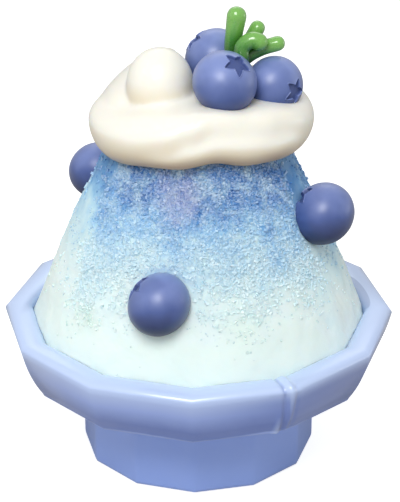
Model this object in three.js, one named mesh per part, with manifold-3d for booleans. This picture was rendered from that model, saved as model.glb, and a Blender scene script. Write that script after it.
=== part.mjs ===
// A shaved ice dessert in its footed bowl: a cone of shaved ice, a dollop of whipped cream on
// top of it, six blueberries and a small sprig of fleshy green shoots.
// Millimetres, +Z up. The origin is the centre of the bowl's foot, at table height.
// The front of the dessert is -Y, and azimuths are degrees from the front towards +X.

import * as THREE from 'three';
import * as BufferGeometryUtils from 'three/addons/utils/BufferGeometryUtils.js';
import Module from 'manifold-3d';

const wasm = await Module();
wasm.setup();

// ---- Driving dimensions ---------------------------------------------------------------------

const GAP = 0.3; // between pieces that touch

// Bowl: a regular twelve-sided form with a corner at the front; radii are to its corners.
const FACETS = 12;
const FOOT = { radius: 36.2, edge: 1.6, height: 27.4 };
const RIM = {
  lowRadius: 53.0, // at the bottom edge of the rim band
  lowEdge: 1.4,
  radius: 60.0, // at the widest place, just under the lip
  height: 44.6,
  bulge: 0.3, // how far the band swells beyond a straight wall
  crestRadius: 56.2,
  crestHeight: 46.5,
  innerRadius: 51.3,
  innerHeight: 43.6,
};
const WELL = { shoulderRadius: 41.0, shoulder: 32.6, radius: 31.0, floorRadius: 24.0, floor: 6.5 };
// A groove across the lip and down the band, by the corner to the right of the front one.
const CREASE = { azimuth: 28.0, width: 3.0, depth: 1.9 };

// Shaved ice: a cone with slightly swelling sides, which fills the well of the bowl and ends,
// rounded, inside the cream.
const ICE = {
  axisX: -0.4,
  lowRadius: 56.1,
  lowHeight: 30.0,
  highRadius: 21.8,
  highHeight: 110.0,
  swell: 1.9, // how far the side stands out from a straight cone, half way up
  top: 114.0,
  round: 6.0,
};
const ICE_SEGMENTS = 36;
const ICE_ROWS = 12;
const ICE_RELIEF = { depth: 0.35, around: 5, up: 0.17 };

// Cream: a swirled disc with a thick rolled edge, whose size changes along the edge.
const CREAM = {
  edgeRadius: 24.2, // from the axis to the middle of the rolled edge
  roll: 9.4, // how far the rolled edge reaches out from its middle
  height: 110.5, // of the middle of the rolled edge
  rise: 8.4, // from there up to the brow of the edge
  drop: 8.8, // and down to its underside
  bottom: 102.5,
  crown: 123.6, // at the axis
};
const CREAM_SEGMENTS = 40;
const ROLL_STEPS = 9;
const CROWN_STEPS = 4;
// Each swell changes a stretch of the rolled edge: where, how wide, and by how much.
const CREAM_SWELLS = [
  { azimuth: -68, spread: 34, out: 0.0, height: -0.2, rise: -2.8, drop: 2.2 },
  { azimuth: -25, spread: 22, out: -0.2, height: 0.6, rise: 0.0, drop: -0.4 },
  { azimuth: 12, spread: 16, out: -1.8, height: 1.6, rise: 0.0, drop: -1.2 },
  { azimuth: 42, spread: 14, out: -0.2, height: 0.4, rise: 0.0, drop: -0.4 },
  { azimuth: 76, spread: 34, out: 1.3, height: 0.0, rise: 0.0, drop: 1.3 },
  { azimuth: 125, spread: 34, out: -0.6, height: 0.0, rise: -1.4, drop: 0.0 },
  { azimuth: -135, spread: 46, out: -3.0, height: -1.0, rise: -4.0, drop: 0.0 },
];
// The end of the swirl stands up as a round knob, with a lower hump behind it.
const KNOBS = [
  { at: [-11.1, -8.0, 122.3], radius: 9.0, height: 10.1 },
  { at: [-7.6, 5.0, 121.0], radius: 8.0, height: 8.0 },
];
const KNOB_SEGMENTS = 18;

// Blueberries: centre, radius and the direction that the calyx crown points in.
const BERRIES = {
  berry_top_front: { at: [8.1, -15.9, 126.0], radius: 9.5, crown: [0.45, -0.42, 0.85] },
  berry_top_right: { at: [22.4, -4.8, 120.9], radius: 8.9, crown: [0.76, -0.62, 0.02] },
  berry_top_back: { at: [4.6, 8.0, 124.6], radius: 9.2, crown: [-0.75, 0.05, 0.66] },
  berry_ice_front: { at: [-10.0, -42.5, 67.5], radius: 9.5, crown: [-0.75, 0.08, 0.66] },
  berry_ice_right: { at: [37.6, -13.5, 83.9], radius: 9.6, crown: [-0.75, 0.05, 0.66] },
  berry_ice_left: { at: [-31.8, 21.4, 82.0], radius: 9.3, crown: [-0.2, 0.75, 0.62] },
};
const BERRY_SQUASH = 0.93; // height along the calyx axis against width
const BERRY_SEGMENTS = 15;
const BERRY_ROWS = 7;
const CROWN = { outer: 0.4, rim: 0.41, inner: 0.3, rise: 0.05, floor: 0.1, lobes: 5, lobe: 0.1 };

// Sprig: four shoots that leave one short stem, each with its centre line and two radii.
const STEM = { foot: [10.9, -4.0, 117.0], fork: [10.9, -4.0, 125.0], radius: 2.1 };
const SHOOTS = [
  { base: 2.1, tip: 2.3, line: [[9.9, -1.2, 130.0], [10.6, -0.6, 136.5], [11.4, -0.4, 140.9]] },
  { base: 1.9, tip: 2.0, line: [[13.6, -0.6, 130.0], [15.8, 1.4, 133.6], [17.5, 2.2, 136.6]] },
  {
    base: 1.7,
    tip: 2.1,
    line: [[13.4, -6.6, 129.6], [12.9, -5.6, 133.2], [16.4, -5.2, 135.4], [18.4, -5.2, 134.6]],
  },
  { base: 1.6, tip: 1.9, line: [[14.2, -2.6, 128.8], [18.6, -1.6, 131.4], [23.3, -1.6, 133.0]] },
];
const SHOOT_SIDES = 8;
const SHOOT_STEPS = 6;
const TIP_STEPS = 3;

// ---- Shared helpers -------------------------------------------------------------------------

const rad = THREE.MathUtils.degToRad;

// A closed surface from a first point, rings of equal length around it, and a last point.
// The rings run anticlockwise when seen from the last point.
function loft(first, rings, last) {
  const size = rings[0].length;
  const points = [first, ...rings.flat(), last];
  const end = points.length - 1;
  const index = [];
  for (let side = 0; side < size; side += 1) {
    const next = (side + 1) % size;
    index.push(0, 1 + next, 1 + side);
    for (let ring = 0; ring + 1 < rings.length; ring += 1) {
      const low = 1 + ring * size;
      const high = low + size;
      index.push(low + side, low + next, high + next);
      index.push(low + side, high + next, high + side);
    }
    const top = 1 + (rings.length - 1) * size;
    index.push(top + side, top + next, end);
  }
  const geometry = new THREE.BufferGeometry().setFromPoints(points);
  geometry.setIndex(index);
  return geometry;
}

// A turned shape about Z from an outline of (radius, height), with corners at multiples of the
// turning step and one of them at the front.
function turn(outline, segments) {
  return new THREE.LatheGeometry(outline, segments).rotateX(Math.PI / 2);
}

function toSolid(geometry) {
  const bare = geometry.clone();
  for (const name of ['normal', 'uv']) {
    bare.deleteAttribute(name);
  }
  const merged = BufferGeometryUtils.mergeVertices(bare, 1e-4);
  const mesh = new wasm.Mesh({
    numProp: 3,
    vertProperties: Float32Array.from(merged.attributes.position.array),
    triVerts: Uint32Array.from(merged.index.array),
  });
  return new wasm.Manifold(mesh);
}

function toGeometry(solid) {
  const mesh = solid.getMesh();
  const geometry = new THREE.BufferGeometry();
  geometry.setAttribute('position', new THREE.BufferAttribute(mesh.vertProperties, 3));
  geometry.setIndex(new THREE.BufferAttribute(mesh.triVerts, 1));
  return geometry;
}

function subtractAll(solid, cutters) {
  return cutters.reduce((rest, cutter) => rest.subtract(cutter), solid);
}

function addPiece(group, name, geometry, color, roughness) {
  const faceted = geometry.index ? geometry.toNonIndexed() : geometry;
  faceted.computeVertexNormals();
  const material = new THREE.MeshStandardMaterial({ color, roughness, metalness: 0 });
  const mesh = new THREE.Mesh(faceted, material);
  mesh.name = name;
  group.add(mesh);
}

// ---- Bowl -----------------------------------------------------------------------------------

// The inside of the bowl from the lip down to the axis, drawn `inset` clear of its wall.
function traceWell(path, inset) {
  const side = RIM.innerRadius - inset;
  const shoulder = WELL.shoulder + inset;
  const radius = WELL.radius - inset;
  const floor = WELL.floor + inset;
  const turnIn = 8; // height of the bend from the shoulder into the foot
  const fillet = 5; // and of the bend into the floor
  path.lineTo(side, RIM.innerHeight);
  path.quadraticCurveTo(side - 2.5, shoulder, WELL.shoulderRadius, shoulder);
  path.quadraticCurveTo(radius, shoulder, radius, shoulder - turnIn);
  path.lineTo(radius - 0.6, floor + fillet);
  path.quadraticCurveTo(radius - 1, floor, WELL.floorRadius, floor);
  path.lineTo(0, floor);
}

function bowlOutline() {
  const path = new THREE.Path();
  path.moveTo(0, 0);
  path.lineTo(FOOT.radius - FOOT.edge, 0);
  path.quadraticCurveTo(FOOT.radius, 0, FOOT.radius, FOOT.edge);
  path.lineTo(FOOT.radius, FOOT.height);
  path.lineTo(RIM.lowRadius - RIM.lowEdge, FOOT.height);
  path.quadraticCurveTo(RIM.lowRadius, FOOT.height, RIM.lowRadius + 0.4, FOOT.height + RIM.lowEdge);
  const middleRadius = (RIM.lowRadius + RIM.radius) / 2 + 2 * RIM.bulge;
  const middleHeight = (FOOT.height + RIM.height) / 2;
  path.quadraticCurveTo(middleRadius, middleHeight, RIM.radius, RIM.height);
  path.quadraticCurveTo(RIM.radius, RIM.crestHeight, RIM.crestRadius, RIM.crestHeight);
  path.quadraticCurveTo(RIM.innerRadius + 0.2, RIM.crestHeight, RIM.innerRadius, RIM.innerHeight);
  traceWell(path, 0);
  return path.getPoints(4);
}

// The groove is a radial slab through the rim, less the part of the bowl that lies deeper
// than the crease.
function makeCrease() {
  const corner = rad(CREASE.azimuth);
  const reach = 2 * (RIM.radius - RIM.innerRadius);
  const tall = 2 * (RIM.crestHeight - FOOT.height);
  const slab = new THREE.BoxGeometry(CREASE.width, 2 * reach, tall);
  slab.translate(0, -RIM.radius, (RIM.crestHeight + FOOT.height) / 2);
  slab.rotateZ(corner);

  const under = FOOT.height - tall;
  const deepRadius = RIM.radius - CREASE.depth;
  const deepCrest = RIM.crestHeight - CREASE.depth;
  const core = new THREE.Path();
  core.moveTo(0, under);
  core.lineTo(RIM.lowRadius - CREASE.depth, under);
  core.lineTo(RIM.lowRadius - CREASE.depth, FOOT.height);
  core.lineTo(deepRadius, RIM.height - CREASE.depth);
  core.quadraticCurveTo(deepRadius, deepCrest, RIM.crestRadius, deepCrest);
  core.lineTo(RIM.innerRadius + 1, RIM.innerHeight - CREASE.depth);
  core.lineTo(0, RIM.innerHeight - CREASE.depth);
  return toSolid(slab).subtract(toSolid(turn(core.getPoints(4), FACETS)));
}

function makeBowl() {
  const blank = toSolid(turn(bowlOutline(), FACETS));
  return blank.subtract(makeCrease());
}

// ---- Shaved ice -----------------------------------------------------------------------------

function iceRadius(height) {
  const up = (height - ICE.lowHeight) / (ICE.highHeight - ICE.lowHeight);
  return THREE.MathUtils.lerp(ICE.lowRadius, ICE.highRadius, up) + ICE.swell * 4 * up * (1 - up);
}

// The uneven cone, `grow` larger than the ice itself.
function makeCone(grow) {
  const heights = [];
  const shoulder = ICE.top - ICE.round;
  for (let row = 0; row <= ICE_ROWS; row += 1) {
    heights.push(THREE.MathUtils.lerp(0, shoulder, row / ICE_ROWS));
  }
  const ring = (radius, height) => {
    const points = [];
    for (let side = 0; side < ICE_SEGMENTS; side += 1) {
      const angle = (side / ICE_SEGMENTS) * 2 * Math.PI;
      const wave = Math.sin(ICE_RELIEF.around * angle + ICE_RELIEF.up * height);
      const cross = Math.cos((ICE_RELIEF.around - 2) * angle - 1.7 * ICE_RELIEF.up * height);
      const reach = radius + grow + ICE_RELIEF.depth * wave * cross;
      const across = ICE.axisX + reach * Math.sin(angle);
      points.push(new THREE.Vector3(across, -reach * Math.cos(angle), height));
    }
    return points;
  };
  const rings = heights.map((height) => ring(iceRadius(height), height));
  const shoulderRadius = iceRadius(shoulder);
  for (const turned of [30, 60]) {
    const inward = ICE.round * (1 - Math.cos(rad(turned)));
    rings.push(ring(shoulderRadius - inward, shoulder + (ICE.round + grow) * Math.sin(rad(turned))));
  }
  const bottom = new THREE.Vector3(ICE.axisX, 0, 0);
  const top = new THREE.Vector3(ICE.axisX, 0, ICE.top + grow);
  return toSolid(loft(bottom, rings, top));
}

// All the space that the ice may fill: the well of the bowl, and everything above its lip.
function makeWellSpace() {
  const overhead = ICE.top + 20;
  const path = new THREE.Path();
  path.moveTo(0, overhead);
  path.lineTo(RIM.radius, overhead);
  path.lineTo(RIM.radius, RIM.crestHeight + GAP);
  path.lineTo(RIM.crestRadius, RIM.crestHeight + GAP);
  path.quadraticCurveTo(
    RIM.innerRadius + 0.2 - GAP, RIM.crestHeight + GAP,
    RIM.innerRadius - GAP, RIM.innerHeight,
  );
  traceWell(path, GAP);
  return toSolid(turn(path.getPoints(4).reverse(), FACETS));
}

function makeIce(berries) {
  return subtractAll(makeCone(0).intersect(makeWellSpace()), berries);
}

// ---- Cream ----------------------------------------------------------------------------------

// How much a swell counts at an azimuth: 1 at its middle, fading smoothly on both sides.
function swellWeight(swell, azimuth) {
  const away = THREE.MathUtils.euclideanModulo(azimuth - swell.azimuth + 180, 360) - 180;
  return Math.exp(-((away / swell.spread) ** 2));
}

function creamEdge(azimuth) {
  const edge = { roll: CREAM.roll, height: CREAM.height, rise: CREAM.rise, drop: CREAM.drop };
  for (const swell of CREAM_SWELLS) {
    const weight = swellWeight(swell, azimuth);
    edge.roll += swell.out * weight;
    edge.height += swell.height * weight;
    edge.rise += swell.rise * weight;
    edge.drop += swell.drop * weight;
  }
  return edge;
}

// The half section of the cream at one azimuth, as (radius, height) from under the rolled
// edge, round its outside, and over the top towards the axis.
function creamSection(azimuth) {
  const edge = creamEdge(azimuth);
  const section = [new THREE.Vector2(CREAM.edgeRadius - edge.roll, CREAM.bottom)];
  for (let step = 0; step <= ROLL_STEPS; step += 1) {
    const angle = rad(THREE.MathUtils.lerp(-100, 80, step / ROLL_STEPS));
    const x = CREAM.edgeRadius + edge.roll * Math.cos(angle);
    const reach = angle > 0 ? edge.rise : edge.drop;
    section.push(new THREE.Vector2(x, edge.height + reach * Math.sin(angle)));
  }
  const brow = section[section.length - 1];
  for (let step = 1; step < CROWN_STEPS; step += 1) {
    const inward = step / CROWN_STEPS;
    const rise = (CREAM.crown - brow.y) * Math.sin((inward * Math.PI) / 2);
    section.push(new THREE.Vector2(brow.x * (1 - inward), brow.y + rise));
  }
  return section;
}

function makeCream(cutters) {
  const sections = [];
  for (let side = 0; side < CREAM_SEGMENTS; side += 1) {
    sections.push(creamSection((side / CREAM_SEGMENTS) * 360));
  }
  const rings = sections[0].map((_, row) => sections.map((section, side) => {
    const angle = (side / CREAM_SEGMENTS) * 2 * Math.PI;
    const { x, y } = section[row];
    return new THREE.Vector3(x * Math.sin(angle), -x * Math.cos(angle), y);
  }));
  const bottom = new THREE.Vector3(0, 0, CREAM.bottom);
  const crown = new THREE.Vector3(0, 0, CREAM.crown);
  const disc = toSolid(loft(bottom, rings, crown));
  const swirled = KNOBS.reduce((whole, { at, radius, height }) => {
    const knob = new THREE.SphereGeometry(1, KNOB_SEGMENTS, KNOB_SEGMENTS / 2);
    knob.rotateX(Math.PI / 2);
    knob.scale(radius, radius, height);
    knob.translate(...at);
    return whole.add(toSolid(knob));
  }, disc);
  return subtractAll(swirled, cutters);
}

// ---- Blueberries ----------------------------------------------------------------------------

function placeBerry(geometry, berry) {
  const crown = new THREE.Vector3(...berry.crown).normalize();
  const turned = new THREE.Quaternion().setFromUnitVectors(new THREE.Vector3(0, 0, 1), crown);
  geometry.applyQuaternion(turned);
  geometry.translate(...berry.at);
  return geometry;
}

// A slightly flattened ball whose calyx end has a raised crown of five lobes round a hollow.
function makeBerry(berry, grow) {
  const radius = berry.radius + grow;
  const ring = (reach, height, lobed) => {
    const points = [];
    for (let side = 0; side < BERRY_SEGMENTS; side += 1) {
      const angle = (side / BERRY_SEGMENTS) * 2 * Math.PI;
      const lobe = lobed * CROWN.lobe * Math.cos(CROWN.lobes * angle);
      const span = radius * reach * (1 + lobe);
      const lift = radius * (height + 0.3 * lobe);
      points.push(new THREE.Vector3(span * Math.sin(angle), -span * Math.cos(angle), lift));
    }
    return points;
  };
  const crownLatitude = Math.acos(CROWN.outer);
  const rings = [];
  for (let row = 1; row <= BERRY_ROWS; row += 1) {
    const latitude = THREE.MathUtils.lerp(-Math.PI / 2, crownLatitude, row / BERRY_ROWS);
    rings.push(ring(Math.cos(latitude), BERRY_SQUASH * Math.sin(latitude), 0));
  }
  const shoulder = BERRY_SQUASH * Math.sin(crownLatitude);
  rings.push(ring(CROWN.rim, shoulder + CROWN.rise, 1));
  rings.push(ring(CROWN.inner, shoulder + CROWN.rise / 2, 1));
  rings.push(ring(CROWN.inner * 0.7, shoulder - CROWN.floor, 0));
  const blossomEnd = new THREE.Vector3(0, 0, radius * (shoulder - CROWN.floor));
  const stemEnd = new THREE.Vector3(0, 0, -radius * BERRY_SQUASH);
  return placeBerry(loft(stemEnd, rings, blossomEnd), berry);
}

// The socket that a berry presses into ice or cream: the berry with its hollow filled, larger
// by the gap and by what the flat faces of a ball cut off its roundness.
function makeSocket(berry) {
  const ball = new THREE.SphereGeometry(1, BERRY_SEGMENTS, BERRY_SEGMENTS / 2);
  ball.rotateX(Math.PI / 2);
  const radius = berry.radius + 2 * GAP;
  ball.scale(radius, radius, radius);
  return toSolid(placeBerry(ball, berry)).add(toSolid(makeBerry(berry, 2 * GAP)));
}

// ---- Sprig ----------------------------------------------------------------------------------

// A round shoot along a smooth line, with a domed tip.
function makeShoot(line, base, tip) {
  const curve = new THREE.CatmullRomCurve3(line.map((point) => new THREE.Vector3(...point)));
  const frames = curve.computeFrenetFrames(SHOOT_STEPS, false);
  const ring = (centre, step, radius) => {
    const points = [];
    for (let side = 0; side < SHOOT_SIDES; side += 1) {
      const angle = (side / SHOOT_SIDES) * 2 * Math.PI;
      points.push(centre.clone()
        .addScaledVector(frames.normals[step], radius * Math.cos(angle))
        .addScaledVector(frames.binormals[step], radius * Math.sin(angle)));
    }
    return points;
  };
  const rings = [];
  for (let step = 0; step <= SHOOT_STEPS; step += 1) {
    const along = step / SHOOT_STEPS;
    rings.push(ring(curve.getPointAt(along), step, THREE.MathUtils.lerp(base, tip, along)));
  }
  const end = curve.getPointAt(1);
  const ahead = frames.tangents[SHOOT_STEPS];
  for (let step = 1; step < TIP_STEPS; step += 1) {
    const turned = (step / TIP_STEPS) * (Math.PI / 2);
    const centre = end.clone().addScaledVector(ahead, tip * Math.sin(turned));
    rings.push(ring(centre, SHOOT_STEPS, tip * Math.cos(turned)));
  }
  return toSolid(loft(curve.getPointAt(0), rings, end.clone().addScaledVector(ahead, tip)));
}

function makeSprig(cutters, grow) {
  const stem = makeShoot([STEM.foot, STEM.fork], STEM.radius + grow, STEM.radius + grow);
  const shoots = SHOOTS.map(({ base, tip, line }) => (
    makeShoot([STEM.fork, ...line], base + grow, tip + grow)
  ));
  const joined = shoots.reduce((whole, shoot) => whole.add(shoot), stem);
  return subtractAll(joined, cutters);
}

// ---- The dessert ----------------------------------------------------------------------------

const dessert = new THREE.Group();
const sockets = Object.values(BERRIES).map(makeSocket);

addPiece(dessert, 'bowl', toGeometry(makeBowl()), 0x8fa3dc, 0.25);
addPiece(dessert, 'shaved_ice', toGeometry(makeIce(sockets)), 0xa9d3ea, 0.6);
const creamCutters = [makeCone(GAP), ...sockets, makeSprig([], GAP)];
addPiece(dessert, 'cream', toGeometry(makeCream(creamCutters)), 0xf5f1e2, 0.4);
for (const [name, berry] of Object.entries(BERRIES)) {
  addPiece(dessert, name, makeBerry(berry, 0), 0x5f6fae, 0.5);
}
addPiece(dessert, 'herb_sprig', toGeometry(makeSprig(sockets, 0)), 0x6aa84f, 0.35);

export default dessert;
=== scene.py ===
"""A shaved ice dessert in a footed bowl, with whipped cream, blueberries and green shoots."""

import math

import bpy
from bpy.props import FloatProperty, FloatVectorProperty, IntProperty, PointerProperty
from bpy.types import Operator, Panel, PropertyGroup
from mathutils import Matrix, Vector, noise


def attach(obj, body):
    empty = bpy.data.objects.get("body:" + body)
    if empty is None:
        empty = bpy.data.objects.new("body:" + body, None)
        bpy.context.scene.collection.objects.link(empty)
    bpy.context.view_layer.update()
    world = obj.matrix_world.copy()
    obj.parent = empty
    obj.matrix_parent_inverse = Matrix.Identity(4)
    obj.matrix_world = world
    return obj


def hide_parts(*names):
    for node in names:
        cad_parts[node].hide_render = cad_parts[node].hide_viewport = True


bl_info = {
    "name": "Shaved Ice Dessert",
    "version": (1, 0, 0),
    "blender": (4, 5, 0),
    "location": "View3D > Sidebar > Dessert",
    "description": "Makes a shaved ice dessert in its bowl around a packed model",
    "category": "Add Mesh",
}

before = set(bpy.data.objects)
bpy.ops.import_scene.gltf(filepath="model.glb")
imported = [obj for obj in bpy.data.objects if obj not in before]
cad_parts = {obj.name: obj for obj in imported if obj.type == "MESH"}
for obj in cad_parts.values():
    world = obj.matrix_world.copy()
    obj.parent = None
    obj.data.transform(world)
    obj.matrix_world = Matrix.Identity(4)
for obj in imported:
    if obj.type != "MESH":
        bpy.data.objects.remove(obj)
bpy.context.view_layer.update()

MM = 0.001
BODY = "root"
TINY = 0.01 * MM
UP = Vector((0.0, 0.0, 1.0))

# ---- Fixed shapes, in millimetres ----

FACETS = 12
FOOT_CORNER_STEPS = 3

BOWL_UNDER = 27.4  # height of the flat underside of the rim band
NECK_ROUND = 0.6  # rounding between that underside and the foot
BAND_LOW = (53.0, 28.8)  # radius and height of the band's lower edge
BAND_ROUND = (1.4, 0.4)  # how far that edge's rounding reaches inwards and outwards
BAND_MIDDLE = (58.0, 35.4)
CREST_ROUND = (0.5, 0.2)  # how far the lip's rounding keeps in from the rim and out from the inner edge
INNER_EDGE = (51.3, 43.6)
WELL_SHOULDER = (41.0, 32.6)
WELL_SLOPE = 2.5  # how far the wall under the inner edge leans in
WELL_SIDE = 31.0
WELL_FLOOR = (24.0, 6.5)
WELL_GAP = 0.05  # between the ice and the bowl
WELL_LID = 134.0  # a height over all of the ice

# The crease runs down the rim. It is cut and folded from these distances to the axis outwards, and over
# the lip's heights the push of its folds turns from outwards to upwards.
CREASE = {"azimuth": 27.0, "slant": 0.18, "reach": 5.2, "strip": 0.4, "top": 46.0}
CREASE_CUT_FROM = 45.0
CREASE_FOLDED_FROM = 50.5
CREASE_LIP = (42.0, 47.5)
# Each of its folds runs from a low end to a high one, and each end has its height, its place beside the
# crease, its push outwards and its width.
CREASE_FOLDS = (
    ((26.0, -0.8, -1.0, 1.0), (49.0, -0.1, -0.4, 0.7)),
    ((31.0, 0.2, 0.1, 0.6), (49.0, 2.2, 0.8, 1.1)),
    ((26.0, 1.6, -0.5, 1.0), (46.0, 3.5, -0.25, 0.8)),
    ((26.0, -3.3, 0.8, 1.3), (37.5, -1.9, 0.0, 0.8)),
)

# Patches of painted shade on the lip's inner slope beside the ice, drawn as darker glaze. Each is an
# ellipsoid, turned about the upright axis by an angle in degrees; core is the share of its size that has
# the full colour.
LIP_SHADE_PATCHES = (
    {"at": (49.6, 11.2, 45.0), "size": (2.6, 12.0, 9.0), "turn": 15, "core": 0.9, "share": 1.0},
    {"at": (-50.3, 5.2, 45.0), "size": (3.2, 16.0, 9.0), "turn": -15, "core": 0.3, "share": 0.8},
    {"at": (-48.2, -12.9, 45.0), "size": (2.4, 15.0, 9.0), "turn": 15, "core": 0.2, "share": 0.4},
)

CONE_HEIGHTS = (30.0, 110.0)  # the heights that the cone's two radii are given for
ICE_TOP_ROUND = 6.0  # height of the rounding at the cone's top
ICE_TOP_IN = (1.5, 7.0)  # and how far in its corner and its end lie
ICE_BLUSH_AT = (-5.0, -30.0, 95.0)
ICE_HIDDEN_BELOW = 41.0  # the ice under this height is out of sight in the bowl
ICE_HIDDEN_ABOVE = 104.5  # and above this one in the cream
ICE_SEEN_FROM = (41.0, 44.0)
COARSE_BORDER = 59.0  # height at which the ice turns coarse
COARSE_FADE = (-6.0, 18.0)  # how far under and over the border it does so
SMOOTH_FLANKS = (50.0, 66.0, 122.0, 140.0)  # degrees from the front, where the ice stays pressed
SMOOTH_SHARE = 0.92
GRAINS_FROM_TO = (45.5, 48.5, 103.0, 105.0)  # heights between which loose grains lie

# Each swell changes a stretch of the cream's rolled edge: where, how wide, and by how much.
CREAM_SWELLS = (
    {"azimuth": -68, "spread": 34, "out": 0.0, "height": -0.2, "rise": -2.8, "drop": 2.2},
    {"azimuth": -25, "spread": 22, "out": -0.2, "height": 0.6, "rise": 0.0, "drop": -0.4},
    {"azimuth": 12, "spread": 16, "out": -1.8, "height": 1.6, "rise": 0.0, "drop": -1.2},
    {"azimuth": 42, "spread": 14, "out": -0.2, "height": 0.4, "rise": 0.0, "drop": -0.4},
    {"azimuth": 76, "spread": 34, "out": 1.3, "height": 0.0, "rise": 0.0, "drop": 1.3},
    {"azimuth": 125, "spread": 34, "out": -0.6, "height": 0.0, "rise": -1.4, "drop": 0.0},
    {"azimuth": -135, "spread": 46, "out": -3.0, "height": -1.0, "rise": -4.0, "drop": 0.0},
)
# The knob at the end of the swirl and the slope from it down to the edge. Each is an ellipsoid with three
# half sizes, leaned over by an angle in degrees.
CREAM_LUMPS = (
    {"at": (-11.0, -6.5, 121.6), "size": (10.0, 10.2, 11.2), "lean": 0},
    {"at": (-19.0, 3.5, 116.0), "size": (17.2, 14.0, 6.2), "lean": -43},
    {"at": (-9.0, 10.0, 115.0), "size": (15.0, 13.0, 6.5), "lean": -10},
)
CREAM_UNDERSIDE = 0.8  # how far the underside lies above the lowest point of the edge
CREAM_EDGE = (-100, 80)  # degrees that the rolled edge goes round, from below to its brow
CREAM_EDGE_STEPS = 28
CREAM_CROWN_STEPS = 12
CREAM_VOXEL = 0.6
# A crest rises round the right of the edge, with a hollow under it. CREAM_CREST gives its height at some
# azimuths, and the two others where it sets in and ends, by azimuth and by distance from the axis.
CREAM_CREST = (
    (-40, 111.0), (-16, 115.4), (-2, 118.4), (12, 120.6),
    (28, 120.2), (48, 118.4), (76, 114.5), (110, 113.0),
)
CREAM_CREST_FROM_TO = (-40, 4, 46, 80)
CREAM_CREST_INNER = (14, 22)
CREAM_CREST_TILT = 35  # degrees by which its push points upwards
# The push and the width of the crest and of the hollow, and how far the hollow lies below the crest.
CREAM_CREST_PUSH = ((0.9, 2.6, 0.0), (-1.2, 3.0, 5.2))

# Blueberries: centre, radius, the way the calyx points, and how it is turned about that way.
BERRIES = {
    "top_front": {"at": (8.1, -15.9, 126.0), "radius": 9.5, "calyx": (0.45, -0.42, 0.85), "turn": 10},
    "top_right": {"at": (22.4, -4.8, 120.9), "radius": 8.9, "calyx": (0.76, -0.62, 0.02), "turn": 40},
    "top_back": {"at": (4.6, 8.0, 124.6), "radius": 9.2, "calyx": (-0.75, 0.05, 0.66), "turn": 25},
    "ice_front": {"at": (-10.0, -42.5, 67.5), "radius": 9.5, "calyx": (-0.75, 0.08, 0.66), "turn": 0},
    "ice_right": {"at": (37.6, -13.5, 83.9), "radius": 9.6, "calyx": (-0.75, 0.05, 0.66), "turn": 55},
    "ice_left": {"at": (-31.8, 21.4, 82.0), "radius": 9.3, "calyx": (-0.20, 0.75, 0.62), "turn": 15},
}
ICE_BERRIES = ("ice_front", "ice_right", "ice_left")
TOP_BERRIES = ("top_front", "top_right", "top_back")
CALYX_WIDTH = 0.36  # of the berry's radius: the calyx before it is drawn out into a star
CALYX_POINTS = 5
CALYX_STAR = (0.72, 0.62)  # the star's narrow places, and how much further its points reach
CALYX_REACH = (0.0, 0.7, 1.05, 1.95)  # of its width: from where to where the skin is drawn into the star
CALYX_DEPTH = 0.13

# The sprig: one short stem, and four shoots that leave its fork, with their radii.
SPRIG_FOOT = (10.9, -4.0, 117.0)
SPRIG_FORK = (10.9, -4.0, 125.0)
SPRIG_STEM = 2.1
SPRIG_VOXEL = 0.28
SHOOTS = (
    (1.65, 2.5, ((9.9, -1.2, 130.0), (10.6, -0.6, 136.2), (11.3, -0.4, 141.2))),
    (1.8, 1.9, ((13.6, -0.6, 130.0), (15.8, 1.4, 133.6), (17.5, 2.2, 136.6))),
    (1.6, 2.2, ((12.9, -6.6, 129.4), (12.9, -5.6, 133.0), (15.8, -5.2, 135.2), (18.2, -5.2, 134.4))),
    (1.6, 1.9, ((14.2, -2.6, 128.8), (18.6, -1.6, 131.3), (23.6, -1.6, 133.0))),
)
SHOOT_TIP_FROM = (4.0, 15.0)  # distances from the fork over which the green turns pale
DOME_STEPS = (35, 62, 84)  # degrees up the domed end of a shoot
SKIN_SHRINKS = 1.3  # a skinned and subdivided line comes out this much thinner than asked

# Soft panel lights, named as their powers: azimuth and elevation in degrees, and distance, width and
# height in metres.
LIGHTS = {
    "key": (-12, 50, 0.85, 0.38, 0.38),
    "side": (-80, 20, 1.0, 0.8, 0.8),
    "low": (105, 4, 1.0, 0.5, 0.2),
    "back": (180, 38, 1.0, 0.9, 0.3),
}
FLOOR_SIZE = 6.0  # in metres
FLOOR_DROP = 0.05


# ---- Settings that the sidebar shows ----


def shade(code):
    """A linear colour with alpha from a hexadecimal screen colour."""
    channels = [((code >> shift) & 255) / 255 for shift in (16, 8, 0)]
    return (*(c / 12.92 if c <= 0.04045 else ((c + 0.055) / 1.055) ** 2.4 for c in channels), 1.0)


def amount(name, default, description, **limits):
    """A number with its limits and, where one fits, its unit."""
    return FloatProperty(name=name, description=description, default=default, **limits)


def length(name, default, description):
    """A length whose default is given in millimetres."""
    return amount(name, default * MM, description, min=0.0, subtype="DISTANCE", unit="LENGTH")


def angle(name, default, description):
    """An angle whose default is given in degrees."""
    return amount(name, math.radians(default), description, subtype="ANGLE", unit="ROTATION")


def power(name, default, description):
    """The power of a light."""
    return amount(name, default, description, min=0.0, unit="POWER")


def tint(name, code, description):
    """A colour whose default is given as a hexadecimal screen colour."""
    return FloatVectorProperty(
        name=name, description=description, default=shade(code), size=4, min=0.0, max=1.0, subtype="COLOR"
    )


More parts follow.
